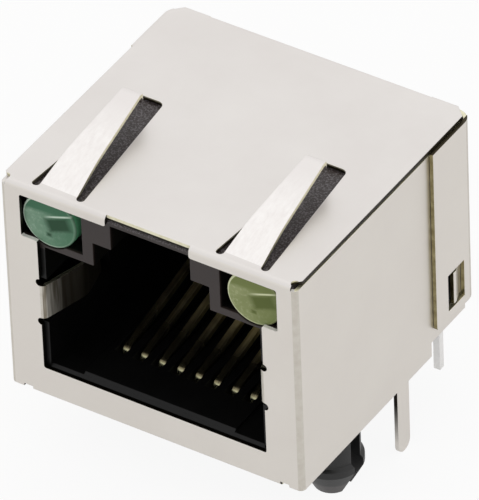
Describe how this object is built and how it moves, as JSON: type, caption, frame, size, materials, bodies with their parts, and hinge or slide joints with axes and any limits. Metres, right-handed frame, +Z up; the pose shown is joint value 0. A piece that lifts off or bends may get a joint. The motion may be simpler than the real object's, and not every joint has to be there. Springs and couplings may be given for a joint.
{
  "type": "shielded board jack",
  "caption": "Shielded modular network jack for a circuit board, with side-entry opening, indicator lamps, top contact fingers, split pegs and solder tabs.",
  "frame": {"origin": "on the board's top face, midway between the two pegs", "axes": "+Z up from the board, -Y out of the front opening towards the plug, +X to the right seen from the front"},
  "size_m": [0.0168, 0.0154, 0.0177],
  "materials": {
    "shield_plate": "satin nickel-plated sheet",
    "housing_plastic": "matt, finely textured black",
    "carrier_plastic": "matt black",
    "contact_gold": "gold-plated",
    "lamp_green": "tinted, diffused",
    "lamp_yellow": "tinted, diffused",
    "tinned_lead": "dull tin"
  },
  "bodies": {
    "root": {"shield": "shield_plate", "housing": "housing_plastic", "contact_carrier": "carrier_plastic", "contact_1": "contact_gold", "contact_2": "contact_gold", "contact_3": "contact_gold", "contact_4": "contact_gold", "contact_5": "contact_gold", "contact_6": "contact_gold", "contact_7": "contact_gold", "contact_8": "contact_gold", "green_lamp": "lamp_green", "yellow_lamp": "lamp_yellow", "green_lamp_cup_lead": "tinned_lead", "green_lamp_post_lead": "tinned_lead", "yellow_lamp_cup_lead": "tinned_lead", "yellow_lamp_post_lead": "tinned_lead"}
  },
  "joints": []
}
